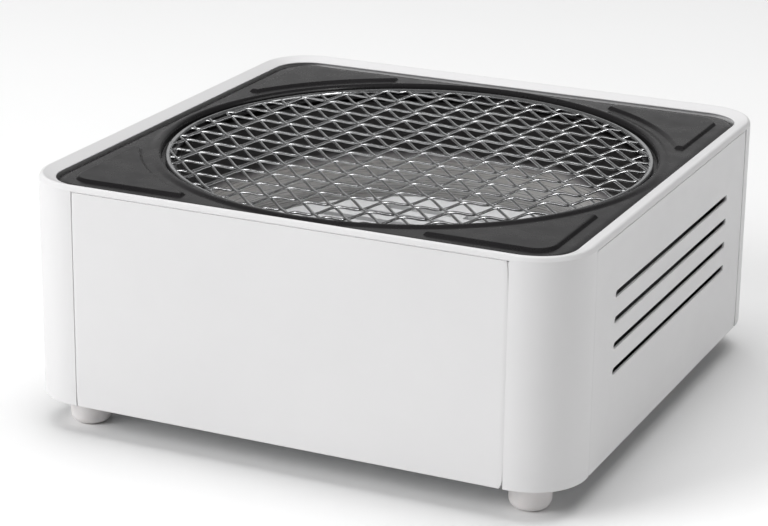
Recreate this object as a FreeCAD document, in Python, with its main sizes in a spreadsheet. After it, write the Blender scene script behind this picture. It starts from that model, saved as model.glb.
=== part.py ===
import FreeCAD, Part
import Sketcher
import math
import os

from FreeCAD import Placement, Rotation, Vector

# Square table-top charcoal barbecue.
# Frame: millimetres, +Z up, -Y is the front, origin at the middle of the
# footprint on the plane the four feet stand on.

os.makedirs("parts", exist_ok=True)
doc = FreeCAD.newDocument("charcoal_barbecue")

# ---------------------------------------------------------------- dimensions
SIZES = [
    ("half_width", 162.5, "half of the square housing's side"),
    ("corner_radius", 32.0, "outer radius of the housing's corners"),
    ("foot_height", 18.0, "floor to the bottom edge of the housing"),
    ("top_level", 147.0, "floor to the crest of the rim"),
    ("sheet_gauge", 1.2, "wall of the pressed steel housing"),
    ("rim_inset", 10.0, "width of the rim"),
    ("rim_depth", 11.0, "height of the rim's inner wall below the crest"),
    ("rim_crest_inset", 2.5, "outer face to the crest"),
    ("rim_slope_inset", 8.1, "outer face to the foot of the inward slope"),
    ("rim_slope_drop", 3.0, "fall of the rim from crest to inner land"),
    ("rim_round", 2.2, "rounding of the rim's outer edge"),
    ("rim_lip", 3.6, "crest down to the top edge of the side panels"),
    ("rim_wall_inset", 2.7, "outer face to the hollow inside the rim"),
    ("rim_inner_wall", 1.2, "thickness of the rim's inner wall"),
    ("rim_roof", 4.8, "crest down to the roof of the rim's hollow"),
    ("window_half", 128.4, "half width of the opening between two posts"),
    ("window_recess", 1.5, "depth of the seat that the panels stand in"),
    ("panel_half", 127.6, "half width of a side panel's face"),
    ("panel_recess", 0.3, "panel face behind the post face"),
    ("panel_gauge", 1.2, "thickness of the side panels"),
    ("panel_top_gap", 0.3, "gap above the panel's top edge"),
    ("panel_bottom_gap", 0.3, "gap below the panel's bottom edge"),
    ("lap_half", 132.0, "half width over the laps behind the posts"),
    ("lap_gauge", 1.1, "thickness of the laps"),
    ("lap_setback", 1.3, "lap's outer side behind the post's face"),
    ("lap_end_low", 4.4, "lap stops this far above the panel's bottom"),
    ("lap_end_high", 7.4, "lap stops this far below the panel's top"),
    ("flange_half", 113.0, "half length of the panel's bottom flange"),
    ("flange_width", 13.0, "width of the panel's bottom flange"),
    ("flange_gauge", 1.0, "thickness of the panel's bottom flange"),
    ("slot_length", 192.0, "side air slot, end to end"),
    ("slot_width", 3.6, "side air slot, height"),
    ("slot_pitch", 14.5, "spacing of the side air slots"),
    ("slot_top_drop", 37.6, "crest to the middle of the top slot"),
    ("base_half", 160.0, "half width of the base tray"),
    ("base_level", 19.2, "underside of the base tray"),
    ("base_gauge", 1.2, "thickness of the base tray"),
    ("base_wall", 12.8, "height of the base tray's wall"),
    ("base_screw_across", 90.0, "base screws from the middle of a side"),
    ("base_screw_out", 153.0, "base screws from the centre"),
    ("foot_x", 134.0, "foot centre from the middle, left and right"),
    ("foot_y", 137.0, "foot centre from the middle, front and back"),
    ("foot_radius", 12.6, "foot radius at its top"),
    ("foot_round", 5.5, "rounding of the foot's bottom edge"),
    ("foot_bore", 2.3, "screw hole in the foot, radius"),
    ("foot_sink", 5.2, "counterbore for the screw head, radius"),
    ("foot_sink_depth", 8.0, "depth of the counterbore"),
    ("ledge_level", 133.0, "top of the support ledge"),
    ("ledge_gauge", 1.2, "thickness of the support ledge"),
    ("ledge_inner", 146.0, "half width of the ledge's opening"),
    ("ledge_leg", 9.0, "height of the ledge's upright leg"),
    ("shield_half", 145.0, "half width of the heat shield"),
    ("shield_gauge", 0.8, "thickness of the heat shield"),
    ("shield_top", 130.0, "top edge of the heat shield"),
    ("shield_radius", 15.0, "corner radius of the heat shield"),
    ("bracket_width", 24.0, "width of a heat shield bracket"),
    ("bracket_leg", 15.0, "height of a heat shield bracket"),
    ("bracket_foot", 12.0, "length of the bracket's foot"),
    ("bracket_gauge", 1.2, "thickness of a bracket"),
    ("tray_half", 110.0, "half width of the ash tray"),
    ("tray_height", 15.0, "height of the ash tray"),
    ("tray_gauge", 0.8, "thickness of the ash tray"),
    ("tray_lip", 6.0, "width of the ash tray's lip"),
    ("pan_half", 151.6, "half width of the charcoal pan's flange"),
    ("pan_corner", 21.1, "corner radius of the flange and the grill plate"),
    ("pan_flange_level", 133.2, "underside of the pan's flange"),
    ("pan_gauge", 1.0, "thickness of the pan"),
    ("pan_top_radius", 133.0, "inner radius of the pan at its mouth"),
    ("pan_low_radius", 124.0, "inner radius of the pan above its floor"),
    ("pan_floor_radius", 113.0, "radius of the pan's flat floor"),
    ("pan_floor_level", 62.0, "top of the pan's floor"),
    ("pan_bend_level", 73.0, "top of the bend into the pan's floor"),
    ("pan_hole", 4.0, "radius of the air holes in the pan's floor"),
    ("grate_radius", 108.0, "radius of the charcoal grate"),
    ("grate_gauge", 4.0, "thickness of the charcoal grate"),
    ("grate_level", 76.0, "underside of the charcoal grate"),
    ("grate_slot", 7.0, "width of a slot in the charcoal grate"),
    ("grate_pitch", 15.0, "spacing of the slots in the charcoal grate"),
    ("grate_leg", 6.0, "radius of the grate's legs"),
    ("plate_half", 151.6, "half width of the grill plate"),
    ("plate_level", 142.2, "top of the grill plate's channel"),
    ("plate_gauge", 1.2, "thickness of the grill plate"),
    ("plate_skirt_low", 134.4, "bottom of the grill plate's skirt"),
    ("plate_edge_round", 0.8, "rounding of the grill plate's outer edge"),
    ("well_radius", 143.5, "radius of the well that holds the mesh"),
    ("well_lip_level", 141.1, "top of the well's wall"),
    ("seat_radius", 134.5, "inner radius of the mesh seat"),
    ("seat_level", 137.9, "top of the mesh seat"),
    ("pad_half", 142.6, "half width over the raised corner pads at their foot"),
    ("pad_arc", 153.6, "radius of the pads' hollow side at their foot"),
    ("pad_end", 71.0, "end of a pad from the middle of a side"),
    ("pad_corner", 12.5, "outer corner radius of a pad"),
    ("pad_height", 1.6, "height of the raised pads"),
    ("pad_slope", 1.1, "width of the sloped side of a pad"),
    ("mesh_radius", 139.0, "radius of the mesh's rim ring"),
    ("mesh_ring_wire", 1.5, "radius of the ring's wire"),
    ("mesh_level", 139.7, "level of the mesh"),
    ("mesh_wire", 0.8, "radius of the woven wires"),
    ("mesh_pitch", 13.7, "spacing of the woven wires"),
    ("screw_radius", 2.0, "M4 screw shank"),
    ("screw_head", 3.9, "M4 pan head radius"),
    ("screw_head_height", 2.4, "M4 pan head height"),
    ("small_screw", 1.5, "M3 screw shank"),
    ("small_head", 2.8, "M3 pan head radius"),
]

sheet = doc.addObject("Spreadsheet::Sheet", "Sizes")
for row, (alias, value, note) in enumerate(SIZES, start=1):
    sheet.set("A%d" % row, note)
    sheet.set("B%d" % row, "%g" % value)
    sheet.setAlias("B%d" % row, alias)
doc.recompute()


def size(alias):
    return float(sheet.get(alias))


def ref(text):
    """Turn the words in a formula that are sheet aliases into sheet cells."""
    names = {row[0] for row in SIZES}
    out, word = "", ""
    for ch in text + " ":
        if ch.isalnum() or ch == "_":
            word += ch
        else:
            out += ("Sizes." + word) if word in names else word
            out += ch
            word = ""
    return out.strip()


def value(text):
    """The number that a formula of sheet aliases gives."""
    names = sorted((row[0] for row in SIZES), key=len, reverse=True)
    total, sign, number = 0.0, 1.0, text.replace("-", "+-").split("+")
    for term in number:
        term = term.strip()
        if not term:
            continue
        factor = 1.0
        if term.startswith("-"):
            factor, term = -1.0, term[1:].strip()
        for piece in term.split("*"):
            piece = piece.strip()
            if "/" in piece:
                top, low = piece.split("/")
                factor *= (size(top.strip()) if top.strip() in names else float(top)) / float(low)
            else:
                factor *= size(piece) if piece in names else float(piece)
        total += factor
    return total * sign


SUBPARTS = []


def keep(obj, label):
    obj.Label = label
    SUBPARTS.append(obj)
    return obj


# ------------------------------------------------------------ sketch helpers
def new_body(label):
    body = doc.addObject("PartDesign::Body", label + "_body")
    if hasattr(body, "AllowCompound"):
        body.AllowCompound = True
    return keep(body, label)


def origin_plane(body, role):
    for item in body.Origin.OriginFeatures:
        if item.Role == role:
            return item


def new_sketch(body, name, level=None, role="XY_Plane"):
    sketch = body.newObject("Sketcher::SketchObject", name)
    sketch.AttachmentSupport = [(origin_plane(body, role), "")]
    sketch.MapMode = "FlatFace"
    if level is not None:
        sketch.setExpression("AttachmentOffset.Base.z", ref(level))
        doc.recompute()
    return sketch


def rounded_square(sketch, half, radius, half_y=None):
    """A rounded rectangle about the sketch's origin."""
    hx, rr = value(half), value(radius)
    hy = value(half_y) if half_y else hx
    first = sketch.GeometryCount
    corners = [(hx, hy, 0), (-hx, hy, 90), (-hx, -hy, 180), (hx, -hy, 270)]
    lines = [((hx - rr, hy), (-hx + rr, hy)), ((-hx, hy - rr), (-hx, -hy + rr)),
             ((-hx + rr, -hy), (hx - rr, -hy)), ((hx, -hy + rr), (hx, hy - rr))]
    for a, b in lines:
        sketch.addGeometry(Part.LineSegment(Vector(a[0], a[1], 0), Vector(b[0], b[1], 0)), False)
    arcs = [(hx - rr, hy - rr, 0), (-hx + rr, hy - rr, 90),
            (-hx + rr, -hy + rr, 180), (hx - rr, -hy + rr, 270)]
    for cx, cy, start in arcs:
        circle = Part.Circle(Vector(cx, cy, 0), Vector(0, 0, 1), rr)
        sketch.addGeometry(Part.ArcOfCircle(circle, math.radians(start), math.radians(start + 90)), False)
    t, l, b, r = first, first + 1, first + 2, first + 3
    a0, a1, a2, a3 = first + 4, first + 5, first + 6, first + 7
    con = [Sketcher.Constraint("Tangent", t, 1, a0, 2), Sketcher.Constraint("Tangent", t, 2, a1, 1),
           Sketcher.Constraint("Tangent", l, 1, a1, 2), Sketcher.Constraint("Tangent", l, 2, a2, 1),
           Sketcher.Constraint("Tangent", b, 1, a2, 2), Sketcher.Constraint("Tangent", b, 2, a3, 1),
           Sketcher.Constraint("Tangent", r, 1, a3, 2), Sketcher.Constraint("Tangent", r, 2, a0, 1),
           Sketcher.Constraint("Horizontal", t), Sketcher.Constraint("Horizontal", b),
           Sketcher.Constraint("Vertical", l), Sketcher.Constraint("Vertical", r),
           Sketcher.Constraint("Equal", a0, a1), Sketcher.Constraint("Equal", a1, a2),
           Sketcher.Constraint("Equal", a2, a3),
           Sketcher.Constraint("Symmetric", t, 1, b, 1, -1, 1)]
    sketch.addConstraint(con)
    n = sketch.addConstraint(Sketcher.Constraint("Radius", a0, rr))
    sketch.setExpression("Constraints[%d]" % n, ref(radius))
    n = sketch.addConstraint(Sketcher.Constraint("DistanceX", b, 1, b, 2, 2 * (hx - rr)))
    sketch.setExpression("Constraints[%d]" % n, ref("2 * (" + half + ") - 2 * (" + radius + ")"))
    n = sketch.addConstraint(Sketcher.Constraint("DistanceY", r, 1, r, 2, 2 * (hy - rr)))
    sketch.setExpression("Constraints[%d]" % n, ref("2 * (" + (half_y or half) + ") - 2 * (" + radius + ")"))


def circle(sketch, radius, x=None, y=None):
    """A circle, centred on the origin or at x, y."""
    cx = value(x) if x else 0.0
    cy = value(y) if y else 0.0
    g = sketch.addGeometry(Part.Circle(Vector(cx, cy, 0), Vector(0, 0, 1), value(radius)), False)
    n = sketch.addConstraint(Sketcher.Constraint("Radius", g, value(radius)))
    sketch.setExpression("Constraints[%d]" % n, ref(radius))
    if x is None and y is None:
        sketch.addConstraint(Sketcher.Constraint("Coincident", g, 3, -1, 1))
        return
    n = sketch.addConstraint(Sketcher.Constraint("DistanceX", -1, 1, g, 3, cx))
    sketch.setExpression("Constraints[%d]" % n, ref(x))
    n = sketch.addConstraint(Sketcher.Constraint("DistanceY", -1, 1, g, 3, cy))
    sketch.setExpression("Constraints[%d]" % n, ref(y))


def outline(sketch, points):
    """A closed polygon whose corners are pairs of formulas, each bound to the sheet."""
    vals = [(value(px), value(py)) for px, py in points]
    first = sketch.GeometryCount
    count = len(vals)
    for i in range(count):
        a, b = vals[i], vals[(i + 1) % count]
        sketch.addGeometry(Part.LineSegment(Vector(a[0], a[1], 0), Vector(b[0], b[1], 0)), False)
    for i in range(count):
        sketch.addConstraint(Sketcher.Constraint("Coincident", first + i, 2, first + (i + 1) % count, 1))
    for i in range(count):
        for kind, k in (("DistanceX", 0), ("DistanceY", 1)):
            n = sketch.addConstraint(Sketcher.Constraint(kind, -1, 1, first + i, 1, vals[i][k]))
            sketch.setExpression("Constraints[%d]" % n, ref(points[i][k]))


def pad(body, sketch, length, name, reverse=False, both=False):
    feature = body.newObject("PartDesign::Pad", name)
    feature.Profile = sketch
    feature.setExpression("Length", ref(length))
    feature.Reversed = reverse
    if both:
        feature.Midplane = True
    doc.recompute()
    return feature


def cut(body, sketch, length, name, reverse=False, both=False):
    """A pocket, turned round when it points away from the solid."""
    before = body.Shape.Volume
    feature = body.newObject("PartDesign::Pocket", name)
    feature.Profile = sketch
    feature.setExpression("Length", ref(length))
    feature.Reversed = reverse
    if both:
        feature.Midplane = True
    doc.recompute()
    if body.Shape.Volume > before - 1e-3:
        feature.Reversed = not reverse
        doc.recompute()
    if body.Shape.Volume > before - 1e-3:
        raise RuntimeError("pocket %s cuts nothing" % name)
    return feature


def round_edges(body, name, radius, test):
    """Fillet the edges of the body's shape that a test accepts."""
    names = []
    for i, edge in enumerate(body.Shape.Edges, start=1):
        box = edge.BoundBox
        if test(edge, box):
            names.append("Edge%d" % i)
    if not names:
        raise RuntimeError("no edges for " + name)
    base = body.Tip
    feature = body.newObject("PartDesign::Fillet", name)
    feature.Base = (base, names)
    feature.setExpression("Radius", ref(radius))
    doc.recompute()
    if "Invalid" in feature.State or body.Shape.isNull():
        raise RuntimeError("fillet %s failed" % name)
    return feature


def revolve(body, sketch, name):
    feature = body.newObject("PartDesign::Revolution", name)
    feature.Profile = sketch
    feature.ReferenceAxis = (sketch, ["V_Axis"])
    feature.Angle = 360.0
    doc.recompute()
    return feature


def polar(body, feature, count, name, angle=360.0):
    before = body.Shape.Volume
    pattern = body.newObject("PartDesign::PolarPattern", name)
    pattern.Originals = [feature]
    for item in body.Origin.OriginFeatures:
        if item.Role == "Z_Axis":
            pattern.Axis = (item, [""])
    pattern.Angle = angle
    pattern.Occurrences = count
    body.Tip = pattern
    doc.recompute()
    if abs(body.Shape.Volume - before) < 1e-3:
        raise RuntimeError("pattern %s changes nothing" % name)
    return pattern


# ------------------------------------------------- housing: rim and posts
body = new_body("top_frame")
s = new_sketch(body, "rim_ring", "top_level - rim_depth")
rounded_square(s, "half_width", "corner_radius")
rounded_square(s, "half_width - rim_inset", "corner_radius - rim_inset")
pad(body, s, "rim_depth", "rim_pad")
# rounded outer edge of the rim
TOP = value("top_level")
HALF = value("half_width")


def outer_top(edge, box):
    if abs(box.ZMin - TOP) > 1e-4 or abs(box.ZMax - TOP) > 1e-4:
        return False
    reach = max(abs(box.XMin), abs(box.XMax), abs(box.YMin), abs(box.YMax))
    return reach > HALF - 1e-3


round_edges(body, "rim_outer_round", "rim_round", outer_top)
s = new_sketch(body, "post_wall", "foot_height")
rounded_square(s, "half_width", "corner_radius")
rounded_square(s, "half_width - sheet_gauge", "corner_radius - sheet_gauge")
pad(body, s, "top_level - foot_height - rim_lip", "post_pad")
# hollow underside of the rim
s = new_sketch(body, "rim_hollow", "top_level - rim_depth")
rounded_square(s, "half_width - rim_wall_inset", "corner_radius - rim_wall_inset")
rounded_square(s, "half_width - rim_inset + rim_inner_wall", "corner_radius - rim_inset + rim_inner_wall")
cut(body, s, "rim_depth - rim_roof", "rim_hollow_cut", reverse=True)
# four openings between the posts, one on each side
s = new_sketch(body, "side_openings", "foot_height - 1")
far = "half_width + 6"
near = "half_width - window_recess"
outline(s, [("-window_half", "-half_width - 6"), ("window_half", "-half_width - 6"),
            ("window_half", "-half_width + window_recess"), ("-window_half", "-half_width + window_recess")])
outline(s, [("-window_half", near), ("window_half", near), ("window_half", far), ("-window_half", far)])
outline(s, [("-half_width - 6", "-window_half"), ("-half_width + window_recess", "-window_half"),
            ("-half_width + window_recess", "window_half"), ("-half_width - 6", "window_half")])
outline(s, [(near, "-window_half"), (far, "-window_half"), (far, "window_half"), (near, "window_half")])
cut(body, s, "top_level - foot_height - rim_lip + 1", "side_openings_cut", reverse=True)
# the rim slopes down inwards to a narrow inner land
s1 = new_sketch(body, "slope_top", "top_level")
rounded_square(s1, "half_width - rim_crest_inset", "corner_radius - rim_crest_inset")
s2 = new_sketch(body, "slope_foot", "top_level - rim_slope_drop")
rounded_square(s2, "half_width - rim_slope_inset", "corner_radius - rim_slope_inset")
before = body.Shape.Volume
loft = body.newObject("PartDesign::SubtractiveLoft", "rim_slope")
loft.Profile = s1
loft.Sections = [s2]
loft.Ruled = True
doc.recompute()
if body.Shape.Volume > before - 1:
    raise RuntimeError("the rim's slope cuts nothing")
INNER = value("half_width - rim_inset")
LAND = value("top_level - rim_slope_drop")


def inner_land(edge, box):
    if abs(box.ZMin - LAND) > 1e-4 or abs(box.ZMax - LAND) > 1e-4:
        return False
    reach = max(abs(box.XMin), abs(box.XMax), abs(box.YMin), abs(box.YMax))
    return reach < INNER + 1e-3


sheet.set("A%d" % (len(SIZES) + 1), "rounding of the rim's inner land")
sheet.set("B%d" % (len(SIZES) + 1), "0.9")
sheet.setAlias("B%d" % (len(SIZES) + 1), "rim_land_round")
SIZES.append(("rim_land_round", 0.9, "rounding of the rim's inner land"))
doc.recompute()
round_edges(body, "rim_inner_round", "rim_land_round", inner_land)

# --------------------------------------------------------- side panels
FACE = "-half_width + panel_recess"


def side_panel(label, turn, vented):
    body = new_body(label)
    s = new_sketch(body, label + "_face", "foot_height + panel_bottom_gap")
    outline(s, [("-panel_half", FACE), ("panel_half", FACE),
                ("panel_half", FACE + " + panel_gauge"), ("-panel_half", FACE + " + panel_gauge")])
    pad(body, s, "top_level - foot_height - rim_lip - panel_top_gap - panel_bottom_gap", label + "_face_pad")
    # rounded upright edges of the face, before the laps are added
    front_y = value(FACE)

    def upright(edge, box):
        return box.ZMax - box.ZMin > 50 and abs(box.YMin - front_y) < 1e-3 and abs(box.YMax - front_y) < 1e-3
    round_edges(body, label + "_edge_round", "panel_gauge - 0.4", upright)
    # laps that run behind the posts; they stop short at both ends
    s = new_sketch(body, label + "_laps", "foot_height + panel_bottom_gap + lap_end_low")
    back = "-half_width + lap_setback"
    for sign in ("", "-"):
        # joggle and lap as one strip
        outline(s, [(sign + "panel_half" + (" - 2" if sign == "" else " + 2"), back),
                    (sign + "lap_half", back), (sign + "lap_half", back + " + lap_gauge"),
                    (sign + "panel_half" + (" - 2" if sign == "" else " + 2"), back + " + lap_gauge")])
    pad(body, s, "top_level - foot_height - rim_lip - panel_top_gap - panel_bottom_gap - lap_end_low - lap_end_high",
        label + "_laps_pad")
    # bottom flange that carries the base tray
    s = new_sketch(body, label + "_flange", "foot_height + panel_bottom_gap")
    outline(s, [("-flange_half", FACE + " + panel_gauge - 0.2"), ("flange_half", FACE + " + panel_gauge - 0.2"),
                ("flange_half", FACE + " + flange_width"), ("-flange_half", FACE + " + flange_width")])
    pad(body, s, "base_level - foot_height - panel_bottom_gap", label + "_flange_pad")
    # clearance holes for the base screws
    s = new_sketch(body, label + "_holes", "base_level")
    circle(s, "screw_radius + 0.1", "base_screw_across", "-base_screw_out")
    circle(s, "screw_radius + 0.1", "-base_screw_across", "-base_screw_out")
    circle(s, "small_screw + 0.1", "0", "-shield_half - 7")
    cut(body, s, "flange_gauge + 1", label + "_holes_cut")
    if vented:
        s = new_sketch(body, label + "_slots", role="XZ_Plane")
        hl, hw = value("slot_length/2"), value("slot_width/2")
        for k in range(4):
            cz = value("top_level - slot_top_drop") - k * value("slot_pitch")
            g = s.GeometryCount
            s.addGeometry(Part.LineSegment(Vector(-hl + hw, cz + hw, 0), Vector(hl - hw, cz + hw, 0)), False)
            s.addGeometry(Part.LineSegment(Vector(hl - hw, cz - hw, 0), Vector(-hl + hw, cz - hw, 0)), False)
            s.addGeometry(Part.ArcOfCircle(Part.Circle(Vector(hl - hw, cz, 0), Vector(0, 0, 1), hw),
                                           -math.pi / 2, math.pi / 2), False)
            s.addGeometry(Part.ArcOfCircle(Part.Circle(Vector(-hl + hw, cz, 0), Vector(0, 0, 1), hw),
                                           math.pi / 2, 3 * math.pi / 2), False)
            s.addConstraint([
                Sketcher.Constraint("Tangent", g, 2, g + 2, 2), Sketcher.Constraint("Tangent", g + 2, 1, g + 1, 1),
                Sketcher.Constraint("Tangent", g + 1, 2, g + 3, 2), Sketcher.Constraint("Tangent", g + 3, 1, g, 1),
                Sketcher.Constraint("Horizontal", g),
                Sketcher.Constraint("Symmetric", g + 2, 3, g + 3, 3, -2)])
            n = s.addConstraint(Sketcher.Constraint("Radius", g + 2, hw))
            s.setExpression("Constraints[%d]" % n, ref("slot_width / 2"))
            n = s.addConstraint(Sketcher.Constraint("DistanceX", g + 3, 3, g + 2, 3, 2 * (hl - hw)))
            s.setExpression("Constraints[%d]" % n, ref("slot_length - slot_width"))
            n = s.addConstraint(Sketcher.Constraint("DistanceY", -1, 1, g + 2, 3, cz))
            s.setExpression("Constraints[%d]" % n, ref("top_level - slot_top_drop - %d * slot_pitch" % k))
        cut(body, s, "half_width + 10", label + "_slots_cut")

        def slot_rim(edge, box):
            if abs(box.YMin - front_y) > 1e-3 or abs(box.YMax - front_y) > 1e-3:
                return False
            return abs(box.XMin) < value("slot_length/2") + 0.1 and box.ZMax - box.ZMin < value("slot_width") + 0.1 \
                and box.ZMin > value("foot_height") + 5 and box.ZMax < value("top_level") - 10
        round_edges(body, label + "_slot_round", "panel_gauge / 2", slot_rim)
    body.Placement = Placement(Vector(0, 0, 0), Rotation(Vector(0, 0, 1), turn))
    return body


side_panel("front_panel", 0, False)
side_panel("right_side_panel", 90, True)
side_panel("rear_panel", 180, False)
side_panel("left_side_panel", 270, True)

# --------------------------------------------------------------- base tray
body = new_body("base_tray")
s = new_sketch(body, "base_floor", "base_level")
rounded_square(s, "base_half", "corner_radius - 2.5")
pad(body, s, "base_gauge", "base_floor_pad")
s = new_sketch(body, "base_wall_ring", "base_level")
rounded_square(s, "base_half", "corner_radius - 2.5")
rounded_square(s, "base_half - base_gauge", "corner_radius - 2.5 - base_gauge")
pad(body, s, "base_wall", "base_wall_pad")
s = new_sketch(body, "foot_holes", "base_level + base_gauge")
for sx in ("", "-"):
    for sy in ("", "-"):
        circle(s, "screw_radius + 0.1", sx + "foot_x", sy + "foot_y")
for sign in ("", "-"):
    circle(s, "screw_radius + 0.1", "base_screw_across", sign + "base_screw_out")
    circle(s, "screw_radius + 0.1", "-base_screw_across", sign + "base_screw_out")
    circle(s, "screw_radius + 0.1", sign + "base_screw_out", "base_screw_across")
    circle(s, "screw_radius + 0.1", sign + "base_screw_out", "-base_screw_across")
cut(body, s, "base_gauge + 1", "foot_holes_cut")

# ------------------------------------------------------------ support ledge
body = new_body("support_ledge")
s = new_sketch(body, "ledge_flat", "ledge_level - ledge_gauge")
rounded_square(s, "half_width - rim_wall_inset", "corner_radius - rim_wall_inset")
rounded_square(s, "ledge_inner", "corner_radius - 16.5")
pad(body, s, "ledge_gauge", "ledge_flat_pad")
# upright leg that is welded to the inside of the rim's outer wall
s = new_sketch(body, "ledge_leg_ring", "ledge_level - ledge_gauge")
rounded_square(s, "half_width - rim_wall_inset", "corner_radius - rim_wall_inset")
rounded_square(s, "half_width - rim_wall_inset - ledge_gauge", "corner_radius - rim_wall_inset - ledge_gauge")
pad(body, s, "ledge_leg", "ledge_leg_pad")

# -------------------------------------------------------------- heat shield
body = new_body("heat_shield")
s = new_sketch(body, "shield_ring", "base_level + base_gauge")
rounded_square(s, "shield_half", "shield_radius")
rounded_square(s, "shield_half - shield_gauge", "shield_radius - shield_gauge")
pad(body, s, "shield_top - base_level - base_gauge", "shield_pad")
for role, tag in (("XZ_Plane", "fb"), ("YZ_Plane", "lr")):
    s = new_sketch(body, "shield_vents_" + tag, role=role)
    for c in (-85, -40, 40, 85):
        outline(s, [("%d" % (c - 17), "36"), ("%d" % (c + 17), "36"),
                    ("%d" % (c + 17), "44"), ("%d" % (c - 17), "44")])
    cut(body, s, "2*half_width", "shield_vents_cut_" + tag, both=True)

# ------------------------------------------------- heat shield's brackets
def cuboid(name, lx, ly, lz, place):
    box = doc.addObject("Part::Box", name)
    box.setExpression("Length", ref(lx))
    box.setExpression("Width", ref(ly))
    box.setExpression("Height", ref(lz))
    for axis, text in zip("xyz", place):
        box.setExpression("Placement.Base." + axis, ref(text))
    return box


def rod(name, radius, height, place, direction=None):
    cyl = doc.addObject("Part::Cylinder", name)
    cyl.setExpression("Radius", ref(radius))
    cyl.setExpression("Height", ref(height))
    if direction is not None:
        cyl.Placement = Placement(Vector(0, 0, 0), Rotation(Vector(0, 0, 1), direction))
    for axis, text in zip("xyz", place):
        cyl.setExpression("Placement.Base." + axis, ref(text))
    return cyl


def drill(name, base, tools):
    joined = tools[0]
    if len(tools) > 1:
        joined = doc.addObject("Part::MultiFuse", name + "_tools")
        joined.Shapes = tools
    result = doc.addObject("Part::Cut", name)
    result.Base = base
    result.Tool = joined
    doc.recompute()
    return result


doc.recompute()
FLOOR = "base_level + base_gauge"
bracket_parts = []
leg = cuboid("bracket_upright", "bracket_gauge", "bracket_width", "bracket_leg",
             ("shield_half", "-bracket_width/2", FLOOR))
sole = cuboid("bracket_sole", "bracket_foot", "bracket_width", "bracket_gauge",
              ("shield_half", "-bracket_width/2", FLOOR))
angle = doc.addObject("Part::MultiFuse", "bracket_angle")
angle.Shapes = [leg, sole]
hole1 = rod("bracket_hole_low", "small_screw + 0.1", "6", ("shield_half + 7", "0", "base_level - 1"))
hole2 = rod("bracket_hole_side", "small_screw + 0.1", "6", ("shield_half - 3", "0", FLOOR + " + 9"), Vector(1, 0, 0))
bracket_one = drill("bracket_one", angle, [hole1, hole2])
doc.recompute()


def four_round(label, source, prefix):
    """Four copies of a shape, a quarter turn apart, as one sub-part."""
    clones = []
    for k in range(4):
        item = doc.addObject("Part::Feature", "%s_%d" % (prefix, k + 1))
        shape = source.Shape.copy()
        shape.rotate(Vector(0, 0, 0), Vector(0, 0, 1), 90 * k)
        item.Shape = shape
        clones.append(item)
    group = doc.addObject("Part::Compound", label + "_group")
    group.Links = clones
    doc.recompute()
    return keep(group, label)


four_round("shield_brackets", bracket_one, "bracket")

# screws: shank and pan head as one revolved solid
def screw_shape(shank, head, head_height, length):
    """A pan-head screw along +Z with its head below z = 0."""
    r, hr, hh = shank, head, head_height
    points = [Vector(0, 0, -hh), Vector(hr * 0.55, 0, -hh), Vector(hr * 0.9, 0, -hh * 0.72), Vector(hr, 0, -hh * 0.3),
              Vector(hr, 0, 0), Vector(r, 0, 0), Vector(r, 0, length - 0.5), Vector(r - 0.4, 0, length),
              Vector(0, 0, length), Vector(0, 0, -hh)]
    face = Part.Face(Part.makePolygon(points))
    solid = face.revolve(Vector(0, 0, 0), Vector(0, 0, 1), 360)
    # cross recess in the head
    slot_a = Part.makeBox(hr * 1.1, 0.7, hh * 0.5, Vector(-hr * 0.55, -0.35, -hh))
    slot_b = Part.makeBox(0.7, hr * 1.1, hh * 0.5, Vector(-0.35, -hr * 0.55, -hh))
    return solid.cut(slot_a).cut(slot_b)


def placed(shape, position, rotation=None):
    out = shape.copy()
    out.Placement = Placement(position, rotation or Rotation())
    return out


def shape_part(label, shapes):
    obj = doc.addObject("Part::Feature", label + "_group")
    obj.Shape = Part.makeCompound(shapes) if len(shapes) > 1 else shapes[0]
    obj.Placement = Placement()
    return keep(obj, label)


m4 = screw_shape(size("screw_radius"), size("screw_head"), size("screw_head_height"), 6.5)
shapes = []
across, out = size("base_screw_across"), size("base_screw_out")
under = value("foot_height + panel_bottom_gap")
for k in range(4):
    turn = Rotation(Vector(0, 0, 1), 90 * k)
    for sx in (-1, 1):
        shapes.append(placed(m4, turn.multVec(Vector(sx * across, -out, under)), turn))
shape_part("base_screws", shapes)

m3 = screw_shape(size("small_screw"), size("small_head"), 2.0, 5.0)
shapes = []
for k in range(4):
    turn = Rotation(Vector(0, 0, 1), 90 * k)
    # down through the bracket's foot
    spot = Vector(value("shield_half + 7"), 0, value(FLOOR + " + bracket_gauge"))
    shapes.append(placed(m3, turn.multVec(spot), turn.multiply(Rotation(Vector(1, 0, 0), 180))))
    # inwards through the bracket and the shield
    spot = Vector(value("shield_half + bracket_gauge"), 0, value(FLOOR + " + 9"))
    shapes.append(placed(m3, turn.multVec(spot), turn.multiply(Rotation(Vector(0, 1, 0), -90))))
shape_part("shield_screws", shapes)

# the same holes in the base tray and the heat shield
for label, spot, direction in (("base_tray", Vector(value("shield_half + 7"), 0, value("base_level - 1")), None),
                               ("heat_shield", Vector(value("shield_half - 3"), 0, value(FLOOR + " + 9")), "x")):
    owner = [obj for obj in SUBPARTS if obj.Label == label][0]
    if label == "base_tray":
        s = new_sketch(owner, "bracket_holes", "base_level + base_gauge")
        circle(s, "small_screw + 0.1", "shield_half + 7", "0")
        circle(s, "small_screw + 0.1", "-shield_half - 7", "0")
        circle(s, "small_screw + 0.1", "0", "shield_half + 7")
        circle(s, "small_screw + 0.1", "0", "-shield_half - 7")
        cut(owner, s, "base_gauge + 1", "bracket_holes_cut")
    else:
        for role, tag in (("XZ_Plane", "fb"), ("YZ_Plane", "lr")):
            s = new_sketch(owner, "bracket_side_holes_" + tag, role=role)
            circle(s, "small_screw + 0.1", "0", FLOOR + " + 9")
            cut(owner, s, "2*half_width", "bracket_side_holes_cut_" + tag, both=True)

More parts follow.
